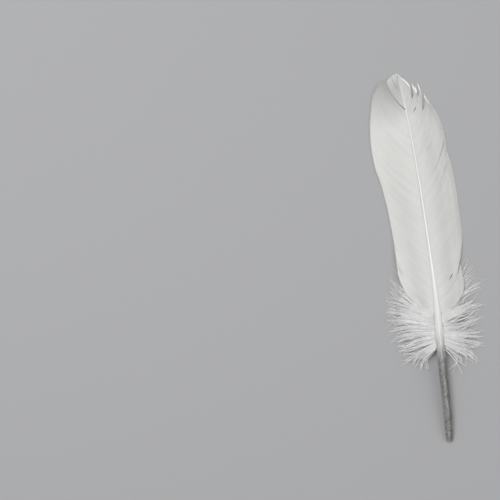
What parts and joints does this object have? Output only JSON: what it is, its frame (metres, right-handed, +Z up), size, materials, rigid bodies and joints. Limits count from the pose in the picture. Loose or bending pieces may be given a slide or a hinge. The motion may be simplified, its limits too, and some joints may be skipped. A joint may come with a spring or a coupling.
{
  "type": "goose quill feather",
  "caption": "White goose wing feather lying convex side up, with a bare quill, two barbed vanes, a split tip and down at the vane's base.",
  "frame": {"origin": "middle of the bounding box's underside, on the surface that the feather lies on", "axes": "+Y from the quill end to the tip, +Z up out of the convex side, +X toward the vane that keeps its width down to the down"},
  "size_m": [0.0508, 0.1784, 0.0069],
  "materials": {
    "quill": "satin",
    "vane": "matte",
    "down": "matte"
  },
  "bodies": {
    "root": {"shaft": "quill", "left_vane": "vane", "tip_vane": "vane", "right_vane": "vane", "left_down": "down", "right_down": "down"}
  },
  "joints": []
}
